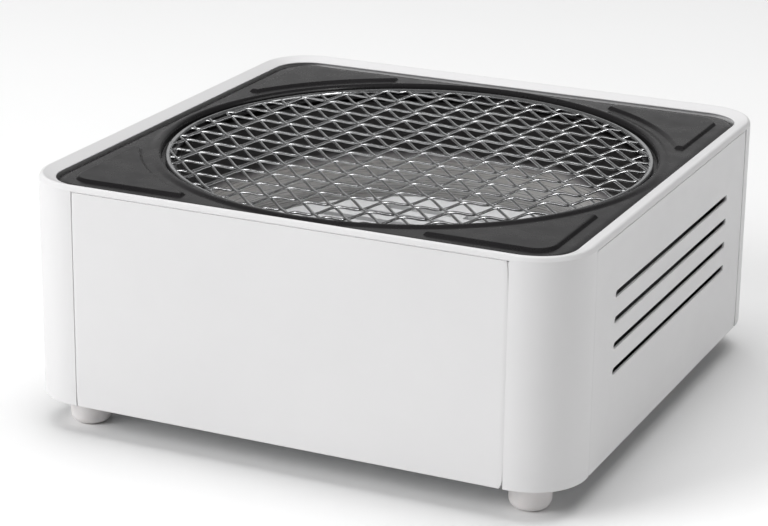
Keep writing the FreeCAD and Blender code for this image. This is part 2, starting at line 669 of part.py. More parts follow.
# --------------------------------------------------------------------- feet
def foot(label, sx, sy):
    body = new_body(label)
    s = new_sketch(body, label + "_profile", role="XZ_Plane")
    # stem: slightly tapered, flat top under the base tray
    outline(s, [("foot_bore", "foot_sink_depth"), ("foot_sink", "foot_sink_depth"), ("foot_sink", "0"),
                ("foot_radius - 1.0", "0"), ("foot_radius", "base_level"), ("foot_bore", "base_level")])
    revolve(body, s, label + "_turn")

    def low_edge(edge, box):
        return box.ZMax < 1e-3 and box.XMax > size("foot_radius") - 2.0
    round_edges(body, label + "_round", "foot_round - 0.2", low_edge)
    body.Placement = Placement(Vector(sx * size("foot_x"), sy * size("foot_y"), 0), Rotation())
    return body


foot("foot_front_left", -1, -1)
foot("foot_front_right", 1, -1)
foot("foot_rear_left", -1, 1)
foot("foot_rear_right", 1, 1)

# washer against the counterbore, screw through foot and base, nut on top
washer = Part.makeCylinder(4.6, 0.8).cut(Part.makeCylinder(2.2, 2, Vector(0, 0, -0.5)))
m4_long = screw_shape(size("screw_radius"), size("screw_head"), size("screw_head_height"), 17.0)
hexagon = Part.Face(Part.makePolygon([Vector(4.04 * math.cos(math.radians(60 * k)), 4.04 * math.sin(math.radians(60 * k)), 0)
                                      for k in range(7)]))
nut = hexagon.extrude(Vector(0, 0, 3.2)).cut(Part.makeCylinder(2.02, 5, Vector(0, 0, -1)))
washers, screws, nuts = [], [], []
for sx in (-1, 1):
    for sy in (-1, 1):
        x, y = sx * size("foot_x"), sy * size("foot_y")
        washers.append(placed(washer, Vector(x, y, size("foot_sink_depth") - 0.8)))
        screws.append(placed(m4_long, Vector(x, y, size("foot_sink_depth") - 0.8)))
        nuts.append(placed(nut, Vector(x, y, value(FLOOR))))
shape_part("foot_washers", washers)
shape_part("foot_screws", screws)
for k in range(4):
    turn = Rotation(Vector(0, 0, 1), 90 * k)
    for sx in (-1, 1):
        nuts.append(placed(nut, turn.multVec(Vector(sx * across, -out, value(FLOOR)))))
shape_part("hex_nuts", nuts)

# ----------------------------------------------------------------- ash tray
body = new_body("ash_tray")
s = new_sketch(body, "tray_floor", FLOOR)
rounded_square(s, "tray_half", "12")
pad(body, s, "tray_gauge", "tray_floor_pad")
s = new_sketch(body, "tray_wall", FLOOR)
rounded_square(s, "tray_half", "12")
rounded_square(s, "tray_half - tray_gauge", "12 - tray_gauge")
pad(body, s, "tray_height", "tray_wall_pad")
s = new_sketch(body, "tray_lip_ring", FLOOR + " + tray_height - tray_gauge")
rounded_square(s, "tray_half + tray_lip", "12 + tray_lip")
rounded_square(s, "tray_half - tray_gauge", "12 - tray_gauge")
pad(body, s, "tray_gauge", "tray_lip_pad")

# ------------------------------------------------------------- charcoal pan
# a spun wall, seamed to a pierced floor and welded into a square flange
body = new_body("pan_wall")
s = new_sketch(body, "wall_profile", role="XZ_Plane")
outline(s, [("pan_floor_radius", "pan_floor_level - pan_gauge"), ("pan_floor_radius", "pan_floor_level"),
            ("pan_low_radius", "pan_bend_level"), ("pan_top_radius", "pan_flange_level + pan_gauge"),
            ("pan_top_radius + 1.1", "pan_flange_level + pan_gauge"), ("pan_top_radius + 1.1", "pan_flange_level"),
            ("pan_low_radius + 1.1", "pan_bend_level - 0.4"), ("pan_floor_radius + 0.6", "pan_floor_level - pan_gauge")])
revolve(body, s, "wall_turn")

body = new_body("pan_floor")
s = new_sketch(body, "floor_disc", "pan_floor_level - pan_gauge")
circle(s, "pan_floor_radius")
pad(body, s, "pan_gauge", "floor_disc_pad")
# air holes in three rings
for ring, (reach, count) in enumerate(((95, 16), (62, 12), (30, 6)), start=1):
    s = new_sketch(body, "floor_hole_%d" % ring, "pan_floor_level")
    circle(s, "pan_hole", "%d" % reach, "0")
    first = cut(body, s, "pan_gauge + 1", "floor_hole_cut_%d" % ring)
    polar(body, first, count, "floor_holes_%d" % ring)

body = new_body("pan_flange")
s = new_sketch(body, "flange_ring", "pan_flange_level")
rounded_square(s, "pan_half", "pan_corner")
circle(s, "pan_top_radius + 1.1")
pad(body, s, "pan_gauge", "flange_pad")

# ----------------------------------------------------------- charcoal grate
body = new_body("charcoal_grate")
s = new_sketch(body, "grate_disc", "grate_level")
circle(s, "grate_radius")
pad(body, s, "grate_gauge", "grate_disc_pad")
s = new_sketch(body, "grate_slots", "grate_level + grate_gauge")
for k in range(-5, 6):
    yc = k * size("grate_pitch")
    reach = math.sqrt((size("grate_radius") - 16.0) ** 2 - (abs(yc) + size("grate_slot") / 2) ** 2)
    # a bridge across the middle keeps the bars stiff
    for side in (-1, 1):
        a, b = (4.0, reach) if side > 0 else (-reach, -4.0)
        outline(s, [("%.3f" % a, "%d * grate_pitch - grate_slot/2" % k), ("%.3f" % b, "%d * grate_pitch - grate_slot/2" % k),
                    ("%.3f" % b, "%d * grate_pitch + grate_slot/2" % k), ("%.3f" % a, "%d * grate_pitch + grate_slot/2" % k)])
cut(body, s, "grate_gauge + 1", "grate_slots_cut")

# four short pegs that the grate stands on
body = new_body("grate_feet")
s = new_sketch(body, "grate_legs", "pan_floor_level")
for k in range(4):
    turn = math.radians(11.25 + 90 * k)
    circle(s, "grate_leg", "%.4f" % (101 * math.cos(turn)), "%.4f" % (101 * math.sin(turn)))
pad(body, s, "grate_level - pan_floor_level", "grate_legs_pad")

# --------------------------------------------------------------- grill plate
body = new_body("grill_plate")
s = new_sketch(body, "plate_profile", role="XZ_Plane")
outline(s, [("well_radius + 1", "well_lip_level"), ("well_radius + 7", "plate_level"), ("230", "plate_level"),
            ("230", "plate_level - plate_gauge"), ("well_radius + 7.2", "plate_level - plate_gauge"),
            ("well_radius + 1.2", "well_lip_level - plate_gauge - 0.2"),
            ("well_radius + 1.2", "seat_level - plate_gauge"), ("seat_radius", "seat_level - plate_gauge"),
            ("seat_radius", "seat_level"), ("well_radius", "seat_level"), ("well_radius", "well_lip_level - 1")])
revolve(body, s, "plate_turn")
s = new_sketch(body, "plate_trim", "plate_level + 10")
rounded_square(s, "240", "10")
rounded_square(s, "plate_half", "pan_corner")
cut(body, s, "40", "plate_trim_cut")
s = new_sketch(body, "plate_skirt", "plate_skirt_low")
rounded_square(s, "plate_half", "pan_corner")
rounded_square(s, "plate_half - plate_gauge", "pan_corner - plate_gauge")
pad(body, s, "plate_level - plate_skirt_low", "plate_skirt_pad")
PLATE_TOP = value("plate_level")
PLATE_HALF = value("plate_half")


def plate_edge(edge, box):
    if abs(box.ZMin - PLATE_TOP) > 1e-4 or abs(box.ZMax - PLATE_TOP) > 1e-4:
        return False
    reach = max(abs(box.XMin), abs(box.XMax), abs(box.YMin), abs(box.YMax))
    return reach > PLATE_HALF - 1e-3


round_edges(body, "plate_edge_rounding", "plate_edge_round", plate_edge)


def pad_outline(s, inset):
    """One corner pad: two straight sides, a rounded corner, short ends and a
    hollow side concentric with the well."""
    half = value("pad_half") - inset
    arc = value("pad_arc") + inset
    end = value("pad_end") + inset
    rr = value("pad_corner") - inset
    shoulder = math.sqrt(arc * arc - end * end)
    g = s.GeometryCount
    s.addGeometry(Part.LineSegment(Vector(end, half, 0), Vector(half - rr, half, 0)), False)
    s.addGeometry(Part.ArcOfCircle(Part.Circle(Vector(half - rr, half - rr, 0), Vector(0, 0, 1), rr), 0, math.pi / 2), False)
    s.addGeometry(Part.LineSegment(Vector(half, half - rr, 0), Vector(half, end, 0)), False)
    s.addGeometry(Part.LineSegment(Vector(half, end, 0), Vector(shoulder, end, 0)), False)
    a0, a1 = math.atan2(end, shoulder), math.atan2(shoulder, end)
    s.addGeometry(Part.ArcOfCircle(Part.Circle(Vector(0, 0, 0), Vector(0, 0, 1), arc), a0, a1), False)
    s.addGeometry(Part.LineSegment(Vector(end, shoulder, 0), Vector(end, half, 0)), False)
    s.addConstraint([
        Sketcher.Constraint("Tangent", g, 2, g + 1, 2), Sketcher.Constraint("Tangent", g + 1, 1, g + 2, 1),
        Sketcher.Constraint("Coincident", g + 2, 2, g + 3, 1), Sketcher.Constraint("Coincident", g + 3, 2, g + 4, 1),
        Sketcher.Constraint("Coincident", g + 4, 2, g + 5, 1), Sketcher.Constraint("Coincident", g + 5, 2, g, 1),
        Sketcher.Constraint("Coincident", g + 4, 3, -1, 1),
        Sketcher.Constraint("Horizontal", g), Sketcher.Constraint("Vertical", g + 2),
        Sketcher.Constraint("Horizontal", g + 3), Sketcher.Constraint("Vertical", g + 5)])
    for kind, args, text, number in (
            ("Radius", (g + 1,), "pad_corner - %g" % inset, rr),
            ("Radius", (g + 4,), "pad_arc + %g" % inset, arc),
            ("DistanceY", (-1, 1, g, 1), "pad_half - %g" % inset, half),
            ("DistanceX", (-1, 1, g + 2, 1), "pad_half - %g" % inset, half),
            ("DistanceX", (-1, 1, g, 1), "pad_end + %g" % inset, end),
            ("DistanceY", (-1, 1, g + 3, 1), "pad_end + %g" % inset, end)):
        n = s.addConstraint(Sketcher.Constraint(kind, *args, number))
        s.setExpression("Constraints[%d]" % n, ref(text))


s1 = new_sketch(body, "corner_pad_foot", "plate_level - 0.1")
pad_outline(s1, 0.0)
s2 = new_sketch(body, "corner_pad_top", "plate_level + pad_height")
pad_outline(s2, value("pad_slope"))
before = body.Shape.Volume
first = body.newObject("PartDesign::AdditiveLoft", "corner_pad")
first.Profile = s1
first.Sections = [s2]
first.Ruled = True
doc.recompute()
if body.Shape.Volume < before + 100:
    raise RuntimeError("the corner pad adds nothing")
polar(body, first, 4, "corner_pads")
s = new_sketch(body, "pad_hollow", "plate_level - plate_gauge")
pad_outline(s, 1.7)
first = cut(body, s, "pad_height", "pad_hollow_cut", reverse=True)
polar(body, first, 4, "pad_hollows")

# ---------------------------------------------------------------- wire mesh
ring = doc.addObject("Part::Torus", "mesh_ring_torus")
ring.setExpression("Radius1", ref("mesh_radius"))
ring.setExpression("Radius2", ref("mesh_ring_wire"))
ring.setExpression("Placement.Base.z", ref("mesh_level"))
keep(ring, "mesh_ring")


def wire_layer(label, lift, turn):
    """Twenty parallel wires, cut to chords that end at the ring's inside."""
    body = new_body(label)
    s = new_sketch(body, label + "_ends", role="YZ_Plane")
    for k in range(-10, 10):
        circle(s, "mesh_wire", "%g * mesh_pitch" % (k + 0.5), "mesh_level" + lift)
    pad(body, s, "2*mesh_radius", label + "_pad", both=True)
    s = new_sketch(body, label + "_trim", "mesh_level + 10")
    rounded_square(s, "mesh_radius + 20", "5")
    circle(s, "mesh_radius - mesh_ring_wire - 0.05")
    cut(body, s, "20", label + "_trim_cut")
    body.Placement = Placement(Vector(0, 0, 0), Rotation(Vector(0, 0, 1), turn))
    return body


wire_layer("mesh_wires_lower", " - mesh_wire", 45)
wire_layer("mesh_wires_upper", " + mesh_wire", -45)

# ---------------------------------------------------------- checks and files
doc.recompute()
for obj in doc.Objects:
    if "Invalid" in obj.State or "Error" in obj.State:
        raise RuntimeError("object %s is %s" % (obj.Label, obj.State))
labels = set()
for obj in SUBPARTS:
    shape = obj.Shape
    if shape.isNull() or not shape.isValid() or shape.Volume <= 0:
        raise RuntimeError("sub-part %s has no valid shape" % obj.Label)
    if obj.Label in labels:
        raise RuntimeError("label %s is used twice" % obj.Label)
    labels.add(obj.Label)
for obj in SUBPARTS:
    obj.Shape.exportStep("parts/%s.step" % obj.Label)
    box = obj.Shape.BoundBox
    print("%-20s solids %2d volume %9.1f  z %7.2f..%7.2f" % (
        obj.Label, len(obj.Shape.Solids), obj.Shape.Volume, box.ZMin, box.ZMax))
print("sub-parts:", len(SUBPARTS))
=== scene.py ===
import math

import bmesh
import bpy
from mathutils import Matrix, Vector
from mathutils.geometry import tessellate_polygon


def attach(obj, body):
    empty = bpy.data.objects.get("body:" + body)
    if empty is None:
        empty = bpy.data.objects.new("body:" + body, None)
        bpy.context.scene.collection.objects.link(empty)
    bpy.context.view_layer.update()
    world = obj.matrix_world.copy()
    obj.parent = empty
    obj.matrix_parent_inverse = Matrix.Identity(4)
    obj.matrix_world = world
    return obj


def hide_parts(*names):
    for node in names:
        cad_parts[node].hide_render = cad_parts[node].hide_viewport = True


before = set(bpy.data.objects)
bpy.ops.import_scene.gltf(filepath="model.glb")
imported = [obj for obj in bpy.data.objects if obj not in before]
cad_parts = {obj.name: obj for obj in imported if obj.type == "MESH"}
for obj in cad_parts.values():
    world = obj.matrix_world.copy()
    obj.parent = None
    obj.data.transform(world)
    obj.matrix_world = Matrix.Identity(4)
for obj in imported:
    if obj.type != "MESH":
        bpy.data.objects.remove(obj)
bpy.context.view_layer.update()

MM = 0.001
scene = bpy.context.scene


# ---------------------------------------------------------------- materials
class Shader:
    """A Principled material with short helpers for its nodes."""

    def __init__(self, name):
        self.mat = bpy.data.materials.new(name)
        self.mat.use_nodes = True
        self.tree = self.mat.node_tree
        self.tree.nodes.clear()
        out = self.add("ShaderNodeOutputMaterial")
        self.bsdf = self.add("ShaderNodeBsdfPrincipled")
        self.link(self.bsdf.outputs[0], out.inputs[0])
        self.place = self.add("ShaderNodeTexCoord").outputs["Object"]

    def add(self, kind):
        return self.tree.nodes.new(kind)

    def link(self, a, b):
        self.tree.links.new(a, b)

    def set(self, **values):
        for key, value in values.items():
            self.bsdf.inputs[key.replace("_", " ")].default_value = value

    def noise(self, scale, detail=2.0, rough=0.5, vector=None, lacunarity=2.0):
        n = self.add("ShaderNodeTexNoise")
        n.inputs["Scale"].default_value = scale
        n.inputs["Detail"].default_value = detail
        n.inputs["Roughness"].default_value = rough
        n.inputs["Lacunarity"].default_value = lacunarity
        self.link(vector or self.place, n.inputs["Vector"])
        return n.outputs["Fac"]

    def spangle(self, scale):
        n = self.add("ShaderNodeTexVoronoi")
        n.inputs["Scale"].default_value = scale
        self.link(self.place, n.inputs["Vector"])
        return n.outputs["Color"]

    def stretch(self, sx, sy, sz):
        m = self.add("ShaderNodeMapping")
        m.inputs["Scale"].default_value = (sx, sy, sz)
        self.link(self.place, m.inputs["Vector"])
        return m.outputs["Vector"]

    def spun(self):
        """Distance from the upright axis and height, as a vector."""
        part = self.add("ShaderNodeSeparateXYZ")
        self.link(self.place, part.inputs[0])
        xx = self.math("MULTIPLY", part.outputs[0], part.outputs[0])
        yy = self.math("MULTIPLY", part.outputs[1], part.outputs[1])
        reach = self.math("SQRT", self.math("ADD", xx, yy))
        both = self.add("ShaderNodeCombineXYZ")
        self.link(reach, both.inputs[0])
        self.link(part.outputs[2], both.inputs[1])
        return both.outputs[0], part.outputs[2], reach

    def math(self, kind, a, b=None):
        n = self.add("ShaderNodeMath")
        n.operation = kind
        for socket, item in zip(n.inputs, (a, b)):
            if item is None:
                continue
            if isinstance(item, (int, float)):
                socket.default_value = item
            else:
                self.link(item, socket)
        return n.outputs[0]

    def ramp(self, fac, stops):
        n = self.add("ShaderNodeValToRGB")
        while len(n.color_ramp.elements) < len(stops):
            n.color_ramp.elements.new(0.5)
        for element, (at, colour) in zip(n.color_ramp.elements, stops):
            element.position = at
            if isinstance(colour, (int, float)):
                colour = (colour, colour, colour)
            element.color = (*colour, 1.0)
        self.link(fac, n.inputs[0])
        return n.outputs[0]

    def range(self, fac, low, high, a=0.3, b=0.7):
        n = self.add("ShaderNodeMapRange")
        n.inputs["From Min"].default_value = a
        n.inputs["From Max"].default_value = b
        n.inputs["To Min"].default_value = low
        n.inputs["To Max"].default_value = high
        self.link(fac, n.inputs["Value"])
        return n.outputs[0]

    def mix(self, fac, a, b, kind="MIX"):
        n = self.add("ShaderNodeMix")
        n.data_type = "RGBA"
        n.blend_type = kind
        if isinstance(fac, (int, float)):
            n.inputs[0].default_value = fac
        else:
            self.link(fac, n.inputs[0])
        for socket, item in ((n.inputs[6], a), (n.inputs[7], b)):
            if isinstance(item, tuple):
                socket.default_value = (*item, 1.0)
            else:
                self.link(item, socket)
        return n.outputs[2]

    def bump(self, height, strength, distance, normal=None):
        n = self.add("ShaderNodeBump")
        n.inputs["Strength"].default_value = strength
        n.inputs["Distance"].default_value = distance
        self.link(height, n.inputs["Height"])
        if normal is not None:
            self.link(normal, n.inputs["Normal"])
        return n.outputs[0]

    def finish(self, colour=None, rough=None, normal=None):
        if colour is not None:
            self.link(colour, self.bsdf.inputs["Base Color"])
        if rough is not None:
            self.link(rough, self.bsdf.inputs["Roughness"])
        if normal is not None:
            self.link(normal, self.bsdf.inputs["Normal"])
        return self.mat


def white_coat():
    s = Shader("white_powder_coat")
    cloud = s.noise(11.0, 3.0, 0.55)
    colour = s.ramp(cloud, [(0.30, (0.716, 0.712, 0.717)), (0.70, (0.738, 0.734, 0.738))])
    rough = s.range(s.noise(95.0, 3.0), 0.34, 0.44)
    peel = s.bump(s.noise(620.0, 1.5, 0.45), 0.10, 0.00006)
    grain = s.bump(s.noise(3400.0, 1.0), 0.05, 0.00003, peel)
    s.set(Specular_IOR_Level=0.5)
    return s.finish(colour, rough, grain)


def black_enamel():
    s = Shader("black_heat_coat")
    cloud = s.noise(16.0, 4.0, 0.6)
    colour = s.ramp(cloud, [(0.28, (0.0125, 0.0118, 0.0125)), (0.72, (0.0185, 0.0175, 0.0185))])
    rough = s.range(s.noise(70.0, 4.0, 0.6), 0.24, 0.33)
    peel = s.bump(s.noise(900.0, 2.0, 0.5), 0.10, 0.00005)
    grain = s.bump(s.noise(4200.0, 1.0), 0.08, 0.00003, peel)
    return s.finish(colour, rough, grain)


def mesh_steel():
    s = Shader("bright_wire")
    tone = s.noise(260.0, 3.0, 0.6)
    colour = s.ramp(tone, [(0.25, (0.56, 0.565, 0.575)), (0.75, (0.78, 0.785, 0.79))])
    rough = s.range(s.noise(520.0, 2.0), 0.14, 0.21)
    draw = s.bump(s.noise(2600.0, 2.0), 0.06, 0.00003)
    s.set(Metallic=0.90)
    return s.finish(colour, rough, draw)


def stainless_pan():
    s = Shader("spun_stainless")
    vector, height, reach = s.spun()
    lines = s.noise(900.0, 2.0, 0.5, vector)
    tone = s.noise(22.0, 3.0, 0.6)
    steel = s.ramp(tone, [(0.25, (0.60, 0.59, 0.58)), (0.75, (0.74, 0.735, 0.73))])
    # painted shade: the wall above the charcoal is darkened towards its top, with a wandering edge, standing in for the
    # shadow inside the pan
    wander = s.math("MULTIPLY", s.math("SUBTRACT", s.noise(38.0, 4.0, 0.6), 0.5), 0.010)
    level = s.math("ADD", height, wander)
    # the outside of the wall, up to the flange, is kept clear of the painted shade
    inner = s.math("ADD", s.math("MULTIPLY", s.math("SUBTRACT", height, 0.073), 0.14706), 0.1245)
    outer = s.math("MULTIPLY", s.math("GREATER_THAN", reach, inner), s.math("LESS_THAN", height, 0.1330))
    inside_wall = s.math("SUBTRACT", 1.0, outer)
    painted_shade_band = s.math("MULTIPLY", s.range(level, 0.0, 1.0, 0.0985, 0.1045), inside_wall)
    # the ramp's pale end is heat tint; its dark end near the top is painted shade as well
    tint_and_painted_shade = s.ramp(s.range(level, 0.0, 1.0, 0.085, 0.1045), [(0.0, (1.0, 1.0, 1.0)), (0.6, (0.93, 0.91, 0.89)), (0.85, (0.50, 0.48, 0.51)), (1.0, (0.30, 0.29, 0.30))])
    glow = s.ramp(s.range(level, 0.0, 1.0, 0.095, 0.133), [(0.0, (1.0, 1.0, 1.0)), (0.5, (0.88, 0.83, 0.76)), (0.8, (0.66, 0.60, 0.58)), (1.0, (0.50, 0.50, 0.54))])
    warm = s.mix(0.9, steel, s.mix(outer, tint_and_painted_shade, glow), "MULTIPLY")
    # painted shade: near black is mixed over the upper inner wall
    colour = s.mix(painted_shade_band, warm, (0.016, 0.015, 0.015))
    rough = s.math("ADD", s.range(lines, 0.22, 0.38), s.math("MULTIPLY", painted_shade_band, 0.25))
    self_metal = s.math("MULTIPLY", s.math("SUBTRACT", 1.0, painted_shade_band), 0.55)
    s.link(self_metal, s.bsdf.inputs["Metallic"])
    cut = s.bump(lines, 0.16, 0.00005)
    return s.finish(colour, rough, cut)


def grate_steel():
    s = Shader("grate_steel")
    rolled = s.noise(60.0, 4.0, 0.6, s.stretch(0.25, 1.0, 1.0))
    steel = s.ramp(rolled, [(0.25, (0.84, 0.845, 0.855)), (0.75, (0.93, 0.935, 0.945))])
    ash = s.ramp(s.noise(95.0, 5.0, 0.7), [(0.56, 0.0), (0.74, 0.35)])
    colour = s.mix(ash, steel, (0.46, 0.46, 0.46))
    rough = s.range(s.noise(150.0, 3.0), 0.30, 0.52)
    dent = s.bump(s.noise(700.0, 3.0, 0.6), 0.14, 0.00006)
    s.set(Metallic=0.08)
    return s.finish(colour, rough, dent)


def zinc_sheet():
    s = Shader("zinc_sheet")
    flake = s.spangle(120.0)
    fine = s.ramp(flake, [(0.1, (0.50, 0.51, 0.52)), (0.9, (0.66, 0.67, 0.68))])
    stain = s.ramp(s.noise(18.0, 4.0, 0.6), [(0.35, (0.86, 0.86, 0.85)), (0.65, (1.0, 1.0, 1.0))])
    colour = s.mix(0.8, fine, stain, "MULTIPLY")
    rough = s.range(flake, 0.34, 0.52, 0.1, 0.9)
    dent = s.bump(s.noise(420.0, 2.0), 0.10, 0.00008)
    s.set(Metallic=1.0)
    return s.finish(colour, rough, dent)


def black_coat_and_painted_shade():
    s = Shader("black_coat_and_painted_shade")
    # the heat shield's black heat-resistant coat, also kept this dark as painted shade for the side slots in front of
    # it
    cloud = s.noise(14.0, 4.0, 0.6)
    colour = s.ramp(cloud, [(0.3, (0.035, 0.034, 0.034)), (0.7, (0.075, 0.073, 0.071))])
    rough = s.range(s.noise(260.0, 3.0), 0.50, 0.66)
    dent = s.bump(s.noise(420.0, 2.0), 0.10, 0.00008)
    s.set(Metallic=0.4)
    return s.finish(colour, rough, dent)


def fastener_steel():
    s = Shader("zinc_fastener")
    tone = s.noise(380.0, 3.0, 0.6)
    colour = s.ramp(tone, [(0.25, (0.46, 0.465, 0.48)), (0.75, (0.66, 0.665, 0.67))])
    rough = s.range(s.noise(900.0, 2.0), 0.24, 0.40)
    turn = s.bump(s.noise(2400.0, 1.0), 0.12, 0.00004)
    s.set(Metallic=1.0)
    return s.finish(colour, rough, turn)


def foot_rubber():
    s = Shader("milky_rubber")
    cloud = s.noise(55.0, 3.0, 0.6)
    colour = s.ramp(cloud, [(0.3, (0.720, 0.695, 0.690)), (0.7, (0.790, 0.765, 0.760))])
    rough = s.range(s.noise(240.0, 3.0), 0.42, 0.56)
    skin = s.bump(s.noise(1500.0, 2.0), 0.14, 0.00006)
    s.set(Subsurface_Weight=0.12, Subsurface_Scale=0.004)
    s.bsdf.inputs["Subsurface Radius"].default_value = (1.0, 0.8, 0.7)
    return s.finish(colour, rough, skin)


def pale_floor():
    s = Shader("pale_floor")
    cloud = s.noise(0.9, 2.0)
    colour = s.ramp(cloud, [(0.3, (0.905, 0.905, 0.905)), (0.7, (0.925, 0.925, 0.925))])
    rough = s.range(s.noise(6.0, 2.0), 0.75, 0.85)
    s.set(Specular_IOR_Level=0.15)
    return s.finish(colour, rough)


WHITE, BLACK, WIRE, PAN = white_coat(), black_enamel(), mesh_steel(), stainless_pan()
GRATE, ZINC, FASTENER, RUBBER, FLOOR = grate_steel(), zinc_sheet(), fastener_steel(), foot_rubber(), pale_floor()
BLACK_COAT_AND_SHADE = black_coat_and_painted_shade()

FINISH = {
    "pan_wall": PAN, "pan_floor": PAN, "pan_flange": PAN, "charcoal_grate": GRATE, "grate_feet": GRATE,
    "base_tray": ZINC, "support_ledge": ZINC, "heat_shield": BLACK_COAT_AND_SHADE, "shield_brackets": ZINC, "ash_tray": ZINC,
    "shield_screws": FASTENER, "base_screws": FASTENER, "hex_nuts": FASTENER, "foot_washers": FASTENER,
    "foot_screws": FASTENER}
for node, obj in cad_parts.items():
    if node in FINISH:
        obj.data.materials.clear()
        obj.data.materials.append(FINISH[node])


# ------------------------------------------------------------ mesh builders
def arc(cx, cy, r, a0, a1, n):
    """n + 1 points on an arc, angles in degrees."""
    return [(cx + r * math.cos(math.radians(a0 + (a1 - a0) * k / n)),
             cy + r * math.sin(math.radians(a0 + (a1 - a0) * k / n))) for k in range(n + 1)]


class Builder:
    """Collects vertices in millimetres and faces, then makes one object."""

    def __init__(self):
        self.verts, self.faces = [], []

    def loop(self, points):
        first = len(self.verts)
        self.verts.extend(points)
        return list(range(first, first + len(points)))

    def bridge(self, a, b, closed=True):
        n = len(a)
        for i in range(n if closed else n - 1):
            j = (i + 1) % n
            self.faces.append((a[i], a[j], b[j], b[i]))

    def fan(self, ring, apex):
        n = len(ring)
        for i in range(n):
            self.faces.append((ring[i], ring[(i + 1) % n], apex))

    def fill(self, loops):
        """Closes a flat region bounded by an outer loop and holes."""
        flat = [k for ring in loops for k in ring]
        triangles = tessellate_polygon([[Vector(self.verts[k]) for k in ring] for ring in loops])
        for t in triangles:
            self.faces.append(tuple(flat[k] for k in t))

    def make(self, name, material, body, hides=(), sharp=40.0, weighted=True):
        mesh = bpy.data.meshes.new(name)
        mesh.from_pydata([(x * MM, y * MM, z * MM) for x, y, z in self.verts], [], self.faces)
        mesh.validate()
        bm = bmesh.new()
        bm.from_mesh(mesh)
        bmesh.ops.remove_doubles(bm, verts=bm.verts, dist=1e-6)
        bmesh.ops.dissolve_degenerate(bm, edges=bm.edges, dist=1e-7)
        bmesh.ops.recalc_face_normals(bm, faces=bm.faces)
        bm.to_mesh(mesh)
        bm.free()
        mesh.shade_smooth()
        mesh.set_sharp_from_angle(angle=math.radians(sharp))
        mesh.materials.append(material)
        obj = bpy.data.objects.new(name, mesh)
        scene.collection.objects.link(obj)
        if weighted:
            w = obj.modifiers.new("even_shading", "WEIGHTED_NORMAL")
            w.keep_sharp = True
            w.weight = 60
        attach(obj, body)
        if hides:
            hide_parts(*hides)
        return obj


CENTRE = 130.5     # corner arcs of the housing are centred here on both axes
TOP = 147.0
BOTTOM = 18.0
SEAM = 128.0       # middle of the seam between a panel and a post
RIM_FOOT = 142.6   # lower edge of the rim's outer wall


def square(half, z, n=28, straight=2, centre=CENTRE):
    """A rounded square, anticlockwise, whose corners share their centres."""
    r = half - centre
    points = []
    for q in range(4):
        sx, sy = ((1, 1), (-1, 1), (-1, -1), (1, -1))[q]
        ring = arc(sx * centre, sy * centre, r, 90 * q, 90 * q + 90, n)
        points += [(x, y, z) for x, y in ring]
        x0, y0 = ring[-1]
        nx, ny = ((-1, 1), (-1, -1), (1, -1), (1, 1))[q]
        nxt = arc(nx * centre, ny * centre, r, 90 * (q + 1), 90 * (q + 1) + 90, n)[0]
        for k in range(1, straight):
            t = k / straight
            points.append((x0 + (nxt[0] - x0) * t, y0 + (nxt[1] - y0) * t, z))
    return points


# ------------------------------------------------------------- rim and posts
def rim_and_posts():
    b = Builder()
    slope = 19.0
    profile = arc(161.6, 143.5, 0.9, -65, 0, 6) + [(162.46, 143.68), (162.15, 144.3)]
    profile += arc(160.25, 144.5, 1.65, 20, 90 + slope, 14)
    profile += [(156.6, 144.79)]
    profile += arc(153.5, 143.1, 0.55, 90 + slope, 270, 10)
    profile += [(154.6, 142.5), (154.85, 142.2), (154.85, 136.4)] + arc(155.25, 136.4, 0.4, 180, 270, 3)[1:]
    profile += [(156.0, 136.0), (156.0, 142.0), (159.0, 142.2), (159.0, 136.0), (160.2, 136.0), (160.2, 142.3),
                (161.4, 142.3), (161.6, RIM_FOOT)]
    loops = [b.loop(square(half, z, straight=12)) for half, z in profile]
    for k in range(len(loops)):
        b.bridge(loops[k], loops[(k + 1) % len(loops)])
    # four corner posts; the wall turns in a little at its lower edge
    for q in range(4):
        turn = Matrix.Rotation(math.radians(90 * q), 3, "Z")

        def outline(z, drop):
            out = 162.5 - drop
            edge = [(out - 0.22 * (1 - math.cos(math.radians(a))), SEAM + 0.01 + 0.22 * (1 - math.sin(math.radians(a))))
                    for a in range(90, -1, -15)]
            pts = [(161.3, SEAM + 0.01)] + edge
            pts += [(x, y) for x, y in arc(CENTRE, CENTRE, out - CENTRE, 0, 90, 40)]
            pts += [(y, x) for x, y in reversed(edge)] + [(SEAM + 0.01, 161.3)]
            pts += arc(CENTRE, CENTRE, 161.2 - CENTRE, 90, 0, 20)
            return [tuple(turn @ Vector((x, y, z))) for x, y in pts]
        rings = [b.loop(outline(BOTTOM, 0.62))]
        for k in range(1, 6):
            a = math.radians(18 * k)
            rings.append(b.loop(outline(BOTTOM + 0.62 * (1 - math.cos(a)), 0.62 * (1 - math.sin(a)))))
        for z in (40.0, 80.0, 120.0, 143.5):
            rings.append(b.loop(outline(z, 0.0)))
        for k in range(len(rings) - 1):
            b.bridge(rings[k], rings[k + 1])
        b.fill([rings[0]])
        b.fill([rings[-1]])
    return b.make("rim_and_posts", WHITE, "housing", ("top_frame",))


# -------------------------------------------------------------- side panels
SLOT_LEVELS = (109.4, 94.9, 80.4, 65.9)


def stadium(cz, half_length, half_width, y, n=12):
    """A slot's outline, anticlockwise seen from the front."""
    c = half_length - half_width
    pts = arc(c, cz, half_width, -90, 90, n) + arc(-c, cz, half_width, 90, 270, n)
    return [(x, y, z) for x, z in pts]


